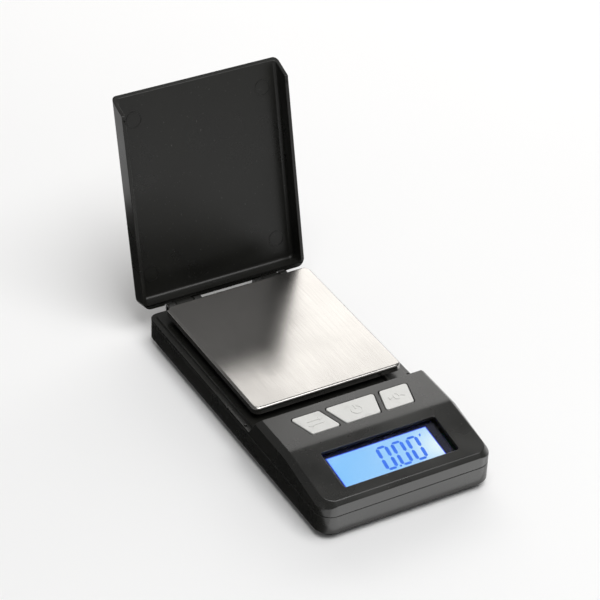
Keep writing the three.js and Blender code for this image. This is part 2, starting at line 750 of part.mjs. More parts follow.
place('load_cell_cable', cellCable(), plastic(0xd8d5cc, 0.6));

CELL_SCREW_SETBACK.forEach((setback, i) => {
  const y = CELL_REAR - setback;
  const screw = shape([
    post(0, y, CELL_SCREW.head, [0.9, DOOR_TOP], 18),
    post(0, y, CELL_SCREW.shank, [DOOR_TOP - 0.2, CELL_TOP - 0.4], 14),
  ], [box(around(0, 2.8), around(y, SLOT_WIDTH), [0, 1.3])]);
  place(`load_cell_screw_${i + 1}`, screw, metal(0xa8a8a4, 0.35));
});

// ---- weighing platform ----

function steelTray() {
  const half = TRAY_WIDTH / 2;
  const inner = half - TRAY_SHEET;
  const zs = [TRAY_TOP - TRAY_FLANGE, TRAY_TOP];
  const outer = roundedSlab([-half, half], [TRAY_FRONT, TRAY_REAR], zs, TRAY_RADIUS);
  const hollow = roundedSlab(
    [-inner, inner],
    [TRAY_FRONT + TRAY_SHEET, TRAY_REAR - TRAY_SHEET],
    [0, TRAY_TOP - TRAY_SHEET],
    TRAY_RADIUS - TRAY_SHEET,
  );
  return shape([outer], [hollow]);
}

function platformCarrier() {
  const top = TRAY_TOP - TRAY_SHEET - FIT / 2;
  const inset = TRAY_WIDTH / 2 - CARRIER_HALF;
  const ends = [TRAY_FRONT + inset, TRAY_REAR - inset];
  const plate = roundedSlab([-CARRIER_HALF, CARRIER_HALF], ends, [top - CARRIER_PLATE, top], 2);
  const ribZs = [CARRIER_RIB_FOOT, top - CARRIER_PLATE + 0.4];
  const ribs = [
    ...[-20, 20].map((x) => box(around(x, CARRIER_RIB), [54, 112], ribZs)),
    ...[57, 109].map((y) => box([-24, 24], around(y, CARRIER_RIB), ribZs)),
  ];
  const spacer = roundedSlab([-SPACER_HALF, SPACER_HALF], SPACER_ENDS, [CELL_TOP + SPACER_LIFT, top - 1], 1);
  const screwHoles = CELL_SCREW_SETBACK.flatMap((setback) => [
    post(0, CELL_FRONT + setback, 1.3, [0, TOP]),
    post(0, CELL_FRONT + setback, 2.3, [top - 1.3, TOP]),
  ]);
  return shape([plate, ...ribs, spacer], screwHoles);
}

place('weighing_tray', steelTray(), metal(0xdad7d0, 0.3));
place('platform_carrier', platformCarrier(), plastic(0x1c1c1b, 0.6));

CELL_SCREW_SETBACK.forEach((setback, i) => {
  const y = CELL_FRONT + setback;
  const headBottom = TRAY_TOP - TRAY_SHEET - 1.3;
  const screw = shape([
    post(0, y, CELL_SCREW.head, [headBottom, headBottom + 1], 18),
    post(0, y, CELL_SCREW.shank, [CELL_BOTTOM + 0.8, headBottom + 0.5], 14),
  ], [box(around(0, 2.8), around(y, SLOT_WIDTH), [headBottom + 0.6, TOP])]);
  place(`platform_screw_${i + 1}`, screw, metal(0xa8a8a4, 0.35));
});

// ---- fasteners and feet ----

const corners = ['front_left', 'front_right', 'rear_left', 'rear_right'];

CASE_SCREWS.forEach(([x, y], i) => {
  const screw = shape([
    post(x, y, CASE_SCREW.head, [CASE_SCREW_SEAT - 1.4, CASE_SCREW_SEAT - FIT], 18),
    post(x, y, CASE_SCREW.shank, [CASE_SCREW_SEAT - 0.4, SEAM - 0.6], 14),
  ], [
    box(around(x, 2.6), around(y, SLOT_WIDTH), [0, 1.7]),
    box(around(x, SLOT_WIDTH), around(y, 2.6), [0, 1.7]),
  ]);
  place(`case_screw_${corners[i]}`, screw, metal(0x8f8f8b, 0.4));
});

FEET.forEach(([x, y], i) => {
  const recess = BOTTOM + FOOT_RECESS;
  const profile = [[0, 0], [FOOT_RADIUS - 0.4, 0], [FOOT_RADIUS, 0.4], [FOOT_RADIUS, recess], [0, recess]]
    .map(([r, z]) => new THREE.Vector2(r, z));
  const turned = new THREE.LatheGeometry(profile, 20);
  const foot = place(`rubber_foot_${corners[i]}`, turned, plastic(0x1a1a1a, 0.9));
  foot.rotation.x = Math.PI / 2;
  foot.position.set(x, y, 0);
});

// ---- lid ----

function lidOutline(drop) {
  return [
    [HOOD_REAR + LID_GAP + earRun(TOP - drop), TOP - drop],
    [LENGTH - LID_CORNER, TOP - drop],
    [LENGTH, TOP - drop - LID_CORNER],
    [LENGTH, LID_RIM],
    [HOOD_REAR + LID_GAP + earRun(LID_RIM), LID_RIM],
  ];
}

function lidShell() {
  const loft = loftAlongX([
    { x: -HALF, outline: lidOutline(SIDE_DROP) },
    { x: -HALF + SIDE_INSET, outline: lidOutline(0) },
    { x: HALF - SIDE_INSET, outline: lidOutline(0) },
    { x: HALF, outline: lidOutline(SIDE_DROP) },
  ]);
  const inside = roundedSlab(
    [-HALF + LID_WALL, HALF - LID_WALL],
    [HOOD_REAR - 10, LENGTH - LID_WALL],
    [0, TOP - LID_WALL],
    REAR_RADIUS - LID_WALL,
  );
  return shape([overlapOf(loft, footprint(0, TOP + 1))], [inside]);
}

function lidLugs() {
  return bothSides((side) => {
    const xs = mirrored(LUG_MIDDLE, side);
    const arm = prismAlongX([
      [LENGTH - LID_WALL, 11], [LENGTH - 0.2, 10.9], [LENGTH + 0.4, HINGE.y + 0.6],
      [HINGE.x + 1.9, HINGE.y + 0.5], [LENGTH + 1, 13.6], [LENGTH - LID_WALL, 14],
    ], xs);
    return shape([rodAlongX(xs, HINGE.x, HINGE.y, LID_BARREL_RADIUS), arm]);
  });
}

// Room in the lid's rear wall for the case's lugs as the lid turns past them.
function lugClearances() {
  return [LUG_OUTER, LUG_INNER].flatMap((span) => bothSides((side) => {
    const [low, high] = mirrored(span, side);
    return rodAlongX([low - 0.25, high + 0.25], HINGE.x, HINGE.y, BARREL_RADIUS + 0.3);
  }));
}

function lidLatchPins() {
  const zs = [LID_RIM - 0.7, LID_RIM + 0.5];
  return bothSides((side) => post(side * LATCH.x, LATCH.y, LATCH_PIN_RADIUS, zs, 12));
}

const lidPivot = new THREE.Group();
lidPivot.position.set(0, HINGE.x, HINGE.y);
lidPivot.rotation.x = -OPEN_ANGLE;
scale.add(lidPivot);
const lid = shape([lidShell(), ...lidLugs(), ...lidLatchPins()], [...lugClearances(), ...hingeBores()]);
place('lid', lid.translate(0, -HINGE.x, -HINGE.y), plastic(0x30302e, 0.45), lidPivot);

['left', 'right'].forEach((side, i) => {
  const span = mirrored([LUG_INNER[0] + 0.2, LUG_OUTER[1] - 0.2], i === 0 ? -1 : 1);
  place(`hinge_pin_${side}`, rodAlongX(span, HINGE.x, HINGE.y, PIN_RADIUS), metal(0xb5b5b0, 0.3));
});

// The origin is the middle of the space that the open scale takes up on the table.
const spaceTaken = new THREE.Box3().setFromObject(scale, true);
scale.position.y = -(spaceTaken.min.y + spaceTaken.max.y) / 2;

export default scale;
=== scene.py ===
import json
import math

import bmesh
import bpy
from mathutils import Matrix, Vector


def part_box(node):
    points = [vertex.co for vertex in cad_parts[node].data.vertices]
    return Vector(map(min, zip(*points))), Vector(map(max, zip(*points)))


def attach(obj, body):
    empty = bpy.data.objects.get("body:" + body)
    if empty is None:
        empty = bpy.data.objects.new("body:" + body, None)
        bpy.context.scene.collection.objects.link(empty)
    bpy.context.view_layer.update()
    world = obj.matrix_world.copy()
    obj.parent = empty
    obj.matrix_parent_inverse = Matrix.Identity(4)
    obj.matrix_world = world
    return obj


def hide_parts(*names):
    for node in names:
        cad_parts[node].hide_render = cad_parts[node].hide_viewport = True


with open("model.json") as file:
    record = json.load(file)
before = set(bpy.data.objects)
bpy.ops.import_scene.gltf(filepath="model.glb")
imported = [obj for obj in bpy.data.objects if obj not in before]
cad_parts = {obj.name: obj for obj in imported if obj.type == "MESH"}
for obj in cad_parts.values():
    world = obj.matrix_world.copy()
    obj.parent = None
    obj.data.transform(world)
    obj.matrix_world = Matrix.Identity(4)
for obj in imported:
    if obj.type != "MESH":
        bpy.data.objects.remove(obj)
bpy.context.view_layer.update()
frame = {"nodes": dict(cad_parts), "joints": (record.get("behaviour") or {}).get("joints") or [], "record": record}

# The fine surfaces and finishes of an open pocket scale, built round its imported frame.
# Shapes are worked out in millimetres in the case's own space: X across, Y from the front face
# towards the hinge, Z up from the table. TO_ROW takes that space into the row frame, in metres.

MM = 0.001
UPPER_LOW, UPPER_HIGH = (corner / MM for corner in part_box("upper_case"))
LID_JOINT = next(joint for joint in frame["joints"] if joint["name"] == "lid_hinge")

# Case
HALF = UPPER_HIGH.x
LENGTH = UPPER_HIGH.y - UPPER_LOW.y
TOP = UPPER_HIGH.z
BOTTOM = 0.6
SEAM = 9
SEAM_GAP = 0.1
WALL = 1.6
FLOOR_TOP = 2.2
FRONT_RADIUS = 5.5
REAR_RADIUS = 3
BOTTOM_ROUND = 1.8
INNER_HALF = HALF - WALL
TO_ROW = Matrix.Translation((0, UPPER_LOW.y * MM, 0)) @ Matrix.Scale(MM, 4)

# Hood
SLOPE_START = Vector((1.3, 14.4))
SLOPE_END = Vector((24.6, TOP))
SLOPE_RISE = (SLOPE_END.y - SLOPE_START.y) / (SLOPE_END.x - SLOPE_START.x)
CREASE_ROUND = 0.1
FRONT_EDGE = Vector((1.3, 1.1))
SIDE_EDGE = Vector((1.8, 1.8))
SLOPE_SIDE_DROP = 3
HOOD_REAR = 42.9
EAR_RUN = 5.2
SKIN = 1.5
ON_SLOPE = Matrix.Translation((0, *SLOPE_START)) @ Matrix.Rotation(math.atan(SLOPE_RISE), 4, "X")

# Rear deck and tray
LEDGE = 10.2
DECK = 11
DECK_HALF = 29.6
DECK_REAR = 118.3
DECK_UNDERSIDE = 9.6
RIB = ((21.3, 22.1), (HOOD_REAR - 0.5, 56), (DECK - 0.5, DECK + 1.2))
TRAY_SHEET = 0.6
TRAY_BEND = 0.9

# Lid and hinge
LID_WALL = 1.3
LID_RIM = LEDGE + 0.15
LID_GAP = 1.6
LID_CORNER = Vector((1.4, 1.4))
LID_FILLET = 1.2
HINGE = Vector((121.3, 9))
OPEN_ANGLE = math.radians(LID_JOINT["range_deg"][1])
BARREL_RADIUS = 2.1
LID_BARREL_RADIUS = 2
PIN_BORE = 0.95
LUG_OUTER = (20.4, 23.2)
LUG_INNER = (10.5, 13.3)
LUG_MIDDLE = (13.6, 20.1)
HINGE_CLEARANCE = 0.3
LUG_END_GAP = 0.25
LATCH = Vector((30.6, 51.5))
LATCH_HOLE_RADIUS = 0.45
LATCH_PIN_RADIUS = 0.3
PIN_MARKS = [(side * 24.5, y) for side in (-1, 1) for y in (54, 110)]

# Buttons and display
BUTTONS = {
    "mode": ((-20.5, -9.5), (-1, -1)),
    "power": ((-8, 8), (-1, 1)),
    "tare": ((9.5, 20.5), (1, 1)),
}
BUTTON_ENDS = (29, 39.2)
BUTTON_SLANT = 2.8
BUTTON_GAP = 0.3
BUTTON_TOP = TOP + 0.35
WINDOW_HALF = 21
WINDOW_ENDS = (3.9, 19.6)
LENS = (-SKIN - 0.85, -SKIN - 0.05)
LIT_SIDES = (-19.3, 17.0)
LIT_ENDS = (5.35, 18.0)
LIT_RIM = 0.3
GLASS_TOP = -SKIN - 0.9
GLASS_BOTTOM = GLASS_TOP - 1.5

# Batteries, door, fasteners and feet
BAY_HALF = 25
BAY_ENDS = (19.5, 41.3)
BAY_WALL = 1.2
BAY_WALL_TOP = 8.6
DOOR_TOP = 1.9
DOOR_TONGUE = 1.3
DOOR_GAP = 0.2
CASE_SCREWS = [(-26.4, 7.2), (26.4, 7.2), (-26.4, 112.8), (26.4, 112.8)]
BOARD_POSTS = [(-27.6, 26.5), (27.6, 26.5), (-27.6, 38.5), (27.6, 38.5)]
SCREW_HEAD = (2, 1.2, 2.5)
SCREW_SHANK = (1, 2.5, 8.4)
CELL_SCREWS = [104.5, 99.5]
CELL_PAD = ((-6, 6), (96, 109), (0, 3.6))
SPACER_HOLE = ((-7.5, 7.5), (55, 73), (0, TOP))
BOSS_RADIUS = 2.6
BOSS_BOTTOM = 4.4
POST_RADIUS = 1.8
POST_BOTTOM = 14.2
SCREW_PILOT = 1.2
BOARD_PILOT = 0.8
PILLAR_RADIUS = 3.1
SCREW_HOLES = ((1.25, SEAM), (2.3, 2.6))
CELL_HOLES = ((1.4, TOP), (2.3, DOOR_TOP))
FOOT_RECESS = (3.6, BOTTOM + 0.8)
FOOT_RADIUS = 3.5
FEET = [(-23.5, 15.5), (23.5, 15.5), (-23.5, 104.5), (23.5, 104.5)]

# Detail of the meshes
ARC_STEPS = 10
EDGE_STEPS = 6
SHARP_EDGE = math.radians(38)
CHAMFER = [(0, 1), (1, 0)]
SOFT_EDGE = 0.22


# ---------------------------------------------------------------- mesh helpers

def solid(name, build):
    """A new mesh object filled by build(bmesh), with its faces pointing out."""
    bm = bmesh.new()
    build(bm)
    bmesh.ops.recalc_face_normals(bm, faces=bm.faces)
    mesh = bpy.data.meshes.new(name)
    bm.to_mesh(mesh)
    bm.free()
    thing = bpy.data.objects.new(name, mesh)
    bpy.context.collection.objects.link(thing)
    return thing


def loft(rings):
    """A closed solid through rings of 3-D points, the first and last closed by strips from side to side."""
    def build(bm):
        rows = [[bm.verts.new(point) for point in ring] for ring in rings]
        count = len(rows[0])
        for lower, upper in zip(rows, rows[1:]):
            for i in range(count):
                j = (i + 1) % count
                bm.faces.new((lower[i], lower[j], upper[j], upper[i]))
        for row in (rows[0], rows[-1]):
            for i in range(count // 2 - 1):
                strip = (row[i], row[i + 1], row[count - 2 - i], row[count - 1 - i])
                bm.faces.new(strip)
    return solid("loft", build)


def prism(outline, low, high, axis="Z"):
    """A flat outline pushed from low to high along Z, or along X where the outline is given in Y and Z."""
    def build(bm):
        def corner(point, depth):
            u, v = point
            return (u, v, depth) if axis == "Z" else (depth, u, v)
        ends = [[bm.verts.new(corner(point, depth)) for point in outline] for depth in (low, high)]
        for i in range(len(outline)):
            j = (i + 1) % len(outline)
            bm.faces.new((ends[0][i], ends[0][j], ends[1][j], ends[1][i]))
        bm.faces.new(ends[0])
        bm.faces.new(ends[1])
    return solid("prism", build)


def rectangle(xs, ys):
    return [(xs[0], ys[0]), (xs[1], ys[0]), (xs[1], ys[1]), (xs[0], ys[1])]


def box(xs, ys, zs):
    return prism(rectangle(xs, ys), *zs)


def circle(x, y, radius, steps=32):
    turns = [2 * math.pi * i / steps for i in range(steps)]
    return [(x + radius * math.cos(turn), y + radius * math.sin(turn)) for turn in turns]


def post(x, y, radius, zs, steps=32):
    return prism(circle(x, y, radius, steps), *zs)


def rod(xs, centre, radius, steps=40):
    return prism(circle(*centre, radius, steps), *xs, axis="X")


def rounded(corners, radius, steps=ARC_STEPS):
    """An outline through anticlockwise corners, each one rounded by a circular arc."""
    outline = []
    for i, corner in enumerate(corners):
        here = Vector(corner)
        back = (Vector(corners[i - 1]) - here).normalized()
        ahead = (Vector(corners[(i + 1) % len(corners)]) - here).normalized()
        opening = back.angle(ahead) / 2
        centre = here + (back + ahead).normalized() * radius / math.sin(opening)
        start = here + back * radius / math.tan(opening) - centre
        end = here + ahead * radius / math.tan(opening) - centre
        first = math.atan2(start.y, start.x)
        sweep = (math.atan2(end.y, end.x) - first + math.pi) % (2 * math.pi) - math.pi
        for step in range(steps + 1):
            turn = first + sweep * step / steps
            outline.append(tuple(centre + radius * Vector((math.cos(turn), math.sin(turn)))))
    return outline


def rounded_slab(xs, ys, zs, radius):
    return prism(rounded(rectangle(xs, ys), radius), *zs)


def half_outline(half, ys, radii, stops=()):
    """The right half of a rounded rectangle, front to rear, as points with their outward directions."""
    points = []
    turns = [math.pi / 2 * step / ARC_STEPS for step in range(ARC_STEPS + 1)]
    for turn in turns:
        out = Vector((math.sin(turn), -math.cos(turn)))
        points.append((Vector((half - radii[0], ys[0] + radii[0])) + radii[0] * out, out))
    points += [(Vector((half, y)), Vector((1, 0))) for y in stops]
    for turn in turns:
        out = Vector((math.cos(turn), math.sin(turn)))
        points.append((Vector((half - radii[1], ys[1] - radii[1])) + radii[1] * out, out))
    return points


def ring(outline, inset, height):
    """The whole ring of a half outline.

    inset and height are numbers, or functions of a point and its outward direction.
    """
    right = []
    for point, out in outline:
        moved = point - out * (inset(point, out) if callable(inset) else inset)
        level = height(moved, out) if callable(height) else height
        right.append((moved.x, moved.y, level))
    return right + [(-x, y, z) for x, y, z in reversed(right)]


def quarter(steps=EDGE_STEPS):
    """Shares of an edge's width and drop along a quarter round, from the wall to the top."""
    turns = [math.pi / 2 * step / steps for step in range(steps + 1)]
    return [(1 - math.cos(turn), 1 - math.sin(turn)) for turn in turns]


def delete(*things):
    for thing in things:
        mesh = thing.data
        bpy.data.objects.remove(thing)
        bpy.data.meshes.remove(mesh)


def applied(thing):
    """The object with its modifiers worked into a new mesh."""
    mesh = bpy.data.meshes.new_from_object(thing.evaluated_get(bpy.context.evaluated_depsgraph_get()))
    old = thing.data
    thing.modifiers.clear()
    thing.data = mesh
    bpy.data.meshes.remove(old)
    return thing


def boolean(thing, tools, operation):
    for tool in tools:
        modifier = thing.modifiers.new(operation, "BOOLEAN")
        modifier.operation = operation
        modifier.solver = "EXACT"
        modifier.object = tool
    applied(thing)
    delete(*tools)
    return thing


def cut(thing, *tools):
    return boolean(thing, tools, "DIFFERENCE")


def join(thing, *tools):
    return boolean(thing, tools, "UNION")


def overlap(thing, *tools):
    return boolean(thing, tools, "INTERSECT")


def softened(thing, width=SOFT_EDGE, steps=3, angle=32):
    """Rounds every edge that is sharper than angle."""
    bm = bmesh.new()
    bm.from_mesh(thing.data)
    bmesh.ops.remove_doubles(bm, verts=bm.verts, dist=0.002)
    bm.to_mesh(thing.data)
    bm.free()
    modifier = thing.modifiers.new("edges", "BEVEL")
    modifier.width = width
    modifier.segments = steps
    modifier.limit_method = "ANGLE"
    modifier.angle_limit = math.radians(angle)
    modifier.use_clamp_overlap = False
    return applied(thing)


def moved(thing, matrix):
    thing.data.transform(matrix)
    return thing


def both_sides(make):
    return [make(-1), make(1)]


def mirrored(span, side):
    return span if side > 0 else (-span[1], -span[0])


def shown(thing, name, body, finish, slot, *replaced):
    """Takes a finished solid into the row frame as a named piece that rides on its body."""
    bm = bmesh.new()
    bm.from_mesh(thing.data)
    bmesh.ops.delete(bm, geom=[edge for edge in bm.edges if edge.is_wire], context="EDGES")
    bm.to_mesh(thing.data)
    bm.free()
    thing.name = name
    thing.data.name = name
    thing.data.transform(TO_ROW)
    thing.data.shade_smooth()
    thing.data.set_sharp_from_angle(angle=SHARP_EDGE)
    modifier = thing.modifiers.new("normals", "WEIGHTED_NORMAL")
    modifier.keep_sharp = True
    modifier.weight = 100
    applied(thing)
    thing.data.materials.clear()
    thing.data.materials.append(finish)
    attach(thing, body)
    if replaced:
        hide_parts(*replaced)
    return thing


# ---------------------------------------------------------------- finishes

def new_material(name, **values):
    """A material and its shader, with plain values set on the shader's own sockets."""
    material = bpy.data.materials.new(name)
    material.use_nodes = True
    shader = material.node_tree.nodes["Principled BSDF"]
    for key, value in values.items():
        shader.inputs[key.replace("_", " ")].default_value = value
    return material, material.node_tree, shader


def add(tree, kind, **values):
    """A node whose inputs are set by name, with underscores for spaces."""
    node = tree.nodes.new("ShaderNode" + kind)
    for key, value in values.items():
        node.inputs[key.replace("_", " ")].default_value = value
    return node


def noise(tree, scale, detail=2.0, stretch=(1, 1, 1)):
    """Noise through the object's own space, in features per metre."""
    place = add(tree, "TexCoord")
    mapping = add(tree, "Mapping", Scale=stretch)
    texture = add(tree, "TexNoise", Scale=scale, Detail=detail)
    tree.links.new(place.outputs["Object"], mapping.inputs["Vector"])
    tree.links.new(mapping.outputs["Vector"], texture.inputs["Vector"])
    return texture.outputs["Fac"]


def ranged(tree, source, low, high, start=0.3, end=0.7):
    """The source stretched from start..end to low..high."""
    node = add(tree, "MapRange", From_Min=start, From_Max=end, To_Min=low, To_Max=high)
    tree.links.new(source, node.inputs["Value"])
    return node.outputs["Result"]


def mixed(tree, factor, first, second):
    node = tree.nodes.new("ShaderNodeMix")
    node.data_type = "RGBA"
    tree.links.new(factor, node.inputs["Factor"])
    for socket, value in zip(("A", "B"), (first, second)):
        target = next(i for i in node.inputs if i.name == socket and i.type == "RGBA")
        if isinstance(value, bpy.types.NodeSocket):
            tree.links.new(value, target)
        else:
            target.default_value = (*value, 1)
    return next(o for o in node.outputs if o.type == "RGBA")


def bumps(tree, shader, *layers):
    """Bump from (height, depth in millimetres) layers, one on the other."""
    normal = None
    for height, depth in layers:
        bump = add(tree, "Bump", Strength=1.0, Distance=depth * MM)
        tree.links.new(height, bump.inputs["Height"])
        if normal:
            tree.links.new(normal, bump.inputs["Normal"])
        normal = bump.outputs["Normal"]
    tree.links.new(normal, shader.inputs["Normal"])


def shades(color, spread):
    return [tuple(channel * share for channel in color) for share in (1 - spread, 1 + spread)]


def moulded_plastic(name, color, roughness, grain=0.006, specular=0.5):
    """Moulded plastic with a fine spark-eroded grain, uneven gloss and a little dust."""
    material, tree, shader = new_material(name, Specular_IOR_Level=specular)
    patches = noise(tree, 55, 4)
    fine = noise(tree, 5200, 2)
    dust = ranged(tree, noise(tree, 1500, 3), 0, 0.22, 0.68, 0.8)
    body = mixed(tree, ranged(tree, patches, 0, 1), *shades(color, 0.12))
    tree.links.new(mixed(tree, dust, body, (0.35, 0.34, 0.32)), shader.inputs["Base Color"])
    gloss = ranged(tree, patches, roughness - 0.05, roughness + 0.06)
    tree.links.new(gloss, shader.inputs["Roughness"])
    bumps(tree, shader, (fine, grain), (patches, 0.01))
    return material


def brushed_metal(name, color, roughness, stretch, depth=0.004):
    """Metal with fine parallel scratches; stretch shortens the noise across them."""
    material, tree, shader = new_material(name, Metallic=1.0)
    scratches = noise(tree, 60, 3, stretch)
    stains = noise(tree, 40, 3)
    body = mixed(tree, ranged(tree, scratches, 0, 1), *shades(color, 0.05))
    tree.links.new(body, shader.inputs["Base Color"])
    gloss = ranged(tree, stains, roughness - 0.03, roughness + 0.04)
    tree.links.new(gloss, shader.inputs["Roughness"])
    bumps(tree, shader, (scratches, depth))
    return material


def silver_paint(name):
    material, tree, shader = new_material(name, Metallic=0.15, Coat_Weight=0.15, Coat_Roughness=0.3)
    flakes = noise(tree, 9000, 1)
    wear = noise(tree, 260, 4)
    body = mixed(tree, ranged(tree, flakes, 0, 1), (0.55, 0.55, 0.53), (0.67, 0.67, 0.65))
    worn = mixed(tree, ranged(tree, wear, 0, 0.5, 0.6, 0.75), body, (0.5, 0.5, 0.48))
    tree.links.new(worn, shader.inputs["Base Color"])
    tree.links.new(ranged(tree, wear, 0.36, 0.46), shader.inputs["Roughness"])
    bumps(tree, shader, (flakes, 0.002), (wear, 0.006))
    return material


def soft_rubber(name, color):
    material, tree, shader = new_material(name, Specular_IOR_Level=0.3)
    pores = noise(tree, 3000, 4)
    body = mixed(tree, ranged(tree, pores, 0, 1), *shades(color, 0.2))
    tree.links.new(body, shader.inputs["Base Color"])
    tree.links.new(ranged(tree, pores, 0.75, 0.9), shader.inputs["Roughness"])
    bumps(tree, shader, (pores, 0.02))
    return material


def clear_plastic(name):
    tint = (0.97, 0.99, 1, 1)
    material, tree, shader = new_material(name, Transmission_Weight=1.0, IOR=1.49, Base_Color=tint)
    haze = noise(tree, 400, 3)
    tree.links.new(ranged(tree, haze, 0.01, 0.05), shader.inputs["Roughness"])
    bumps(tree, shader, (haze, 0.0005))
    return material


def lit_glass(name):
    """The lit face of the display: deeper blue on the left, and a white hot spot by the lamp on the right."""
    material, tree, shader = new_material(name, Base_Color=(0.02, 0.03, 0.05, 1), Roughness=0.25)
    place = add(tree, "TexCoord")
    split = add(tree, "SeparateXYZ")
    tree.links.new(place.outputs["Object"], split.inputs["Vector"])
    across = ranged(tree, split.outputs["X"], 0, 1, LIT_SIDES[0] * MM, LIT_SIDES[1] * MM)
    lamp = TO_ROW @ ON_SLOPE @ Vector((LIT_SIDES[1], 9.5, GLASS_TOP))
    distance = add(tree, "VectorMath")
    distance.operation = "DISTANCE"
    tree.links.new(place.outputs["Object"], distance.inputs[0])
    distance.inputs[1].default_value = lamp
    hot = ranged(tree, distance.outputs["Value"], 0.95, 0, 1.5 * MM, 10 * MM)
    cloud = noise(tree, 120, 2)
    wash = mixed(tree, across, (0.22, 0.57, 1.0), (0.40, 0.68, 1.0))
    patchy = mixed(tree, ranged(tree, cloud, 0, 0.12), wash, (0.6, 0.8, 1.0))
    glow = mixed(tree, hot, patchy, (0.82, 0.97, 1.0))
    tree.links.new(glow, shader.inputs["Emission Color"])
    shader.inputs["Emission Strength"].default_value = 1.0
    return material


def blue_segments(name, first, second):
    """A driven part of the display, a deeper blue than the lit face round it."""
    material, tree, shader = new_material(name, Base_Color=(0.01, 0.03, 0.08, 1), Roughness=0.3)
    glow = mixed(tree, ranged(tree, noise(tree, 300, 2), 0, 1), first, second)
    tree.links.new(glow, shader.inputs["Emission Color"])
    shader.inputs["Emission Strength"].default_value = 0.95
    return material


def circuit_board(name):
    material, tree, shader = new_material(name, Roughness=0.35)
    weave = noise(tree, 1800, 2, (1, 0.1, 1))
    patches = noise(tree, 200, 3)
    tracks = ranged(tree, noise(tree, 500, 0, (0.2, 1, 1)), 0, 1, 0.52, 0.53)
    body = mixed(tree, tracks, (0.012, 0.12, 0.05), (0.03, 0.2, 0.09))
    tree.links.new(body, shader.inputs["Base Color"])
    tree.links.new(ranged(tree, patches, 0.28, 0.42), shader.inputs["Roughness"])
    bumps(tree, shader, (weave, 0.004), (tracks, 0.01))
    return material


def battery_film(name):
    """A shrunk plastic film in two colours, with the metal can showing at the ends."""
    material, tree, shader = new_material(name, Coat_Weight=0.4, Coat_Roughness=0.12)
    place = add(tree, "TexCoord")
    split = add(tree, "SeparateXYZ")
    tree.links.new(place.outputs["Object"], split.inputs["Vector"])
    band = ranged(tree, split.outputs["X"], 0, 1, 9.9 * MM, 10 * MM)
    creases = noise(tree, 300, 3)
    body = mixed(tree, band, (0.02, 0.09, 0.3), (0.55, 0.42, 0.16))
    tree.links.new(body, shader.inputs["Base Color"])
    tree.links.new(ranged(tree, creases, 0.22, 0.34), shader.inputs["Roughness"])
    bumps(tree, shader, (creases, 0.01))
    return material


# ---------------------------------------------------------------- case

def slope_height(y):
    """The height of the hood's top over y, with a softly rounded crease where the slope ends."""
    slope = SLOPE_START.y + (y - SLOPE_START.x) * SLOPE_RISE
    gap = slope - TOP
    return (slope + TOP - math.sqrt(gap * gap + CREASE_ROUND ** 2)) / 2


def side_drop(y):
    share = min(max((y - SLOPE_START.x) / (SLOPE_END.x - SLOPE_START.x), 0), 1)
    return SLOPE_SIDE_DROP + (SIDE_EDGE.y - SLOPE_SIDE_DROP) * share


def ear_line(z):
    """How far back the hood's slanted rear edge is at height z."""
    return HOOD_REAR + EAR_RUN * (TOP - z) / (TOP - LEDGE)


def bevelled_block(top):
    """The case's outline from its rounded bottom edge up to a height."""
    outline = half_outline(HALF, (0, LENGTH), (FRONT_RADIUS, REAR_RADIUS))
    rings = [
        ring(outline, across * BOTTOM_ROUND, BOTTOM + down * BOTTOM_ROUND)
        for down, across in reversed([(1 - wide, 1 - tall) for wide, tall in quarter()])
    ]
    return loft(rings + [ring(outline, 0, top)])


def hood_block():
    """The case's outline, with the display slope, the flat top and their rounded edges."""
    stops = [12, 20, 22.5, 23.6, 24.2, 24.6, 25, 25.6, 26.7, 30, 70]
    outline = half_outline(HALF, (0, LENGTH), (FRONT_RADIUS, REAR_RADIUS), stops)

    def edge(wide, down):
        def inset(_, out):
            share = abs(out.x)
            return wide * (FRONT_EDGE.x + (SIDE_EDGE.x - FRONT_EDGE.x) * share)

        def height(point, out):
            drop = FRONT_EDGE.y + (side_drop(point.y) - FRONT_EDGE.y) * abs(out.x)
            return slope_height(point.y) - down * drop
        return ring(outline, inset, height)

    return loft([ring(outline, 0, SEAM + SEAM_GAP / 2)] + [edge(*shares) for shares in CHAMFER])


def hinge_notches():
    return both_sides(lambda side: rod(
        mirrored((LUG_MIDDLE[0] - HINGE_CLEARANCE, LUG_MIDDLE[1] + HINGE_CLEARANCE), side),
        HINGE, LID_BARREL_RADIUS + HINGE_CLEARANCE,
    ))


def hinge_bores():
    span = (LUG_INNER[0] - 1, LUG_OUTER[1] + 1)
    return both_sides(lambda side: rod(mirrored(span, side), HINGE, PIN_BORE))


def button_outline(name, gap, radius):
    (left, right), lean = BUTTONS[name]
    run = BUTTON_SLANT / 2
    front, rear = BUTTON_ENDS[0] + gap, BUTTON_ENDS[1] - gap
    corners = [
        (left + gap - lean[0] * run, front), (right - gap - lean[1] * run, front),
        (right - gap + lean[1] * run, rear), (left + gap + lean[0] * run, rear),
    ]
    return rounded(corners, radius)


def hood_cavity():
    base = SEAM - 1
    side = [
        (WALL, base), (HOOD_REAR - SKIN, base), (HOOD_REAR - SKIN, TOP - SKIN),
        (SLOPE_END.x + 0.2, TOP - SKIN), (SLOPE_START.x + 1.3, SLOPE_START.y - SKIN + 0.2), (WALL, 12.2),
    ]
    within = rounded_slab((-INNER_HALF, INNER_HALF), (WALL, HOOD_REAR), (0, TOP), FRONT_RADIUS - WALL)
    return overlap(prism(side, -INNER_HALF, INNER_HALF, "X"), within)


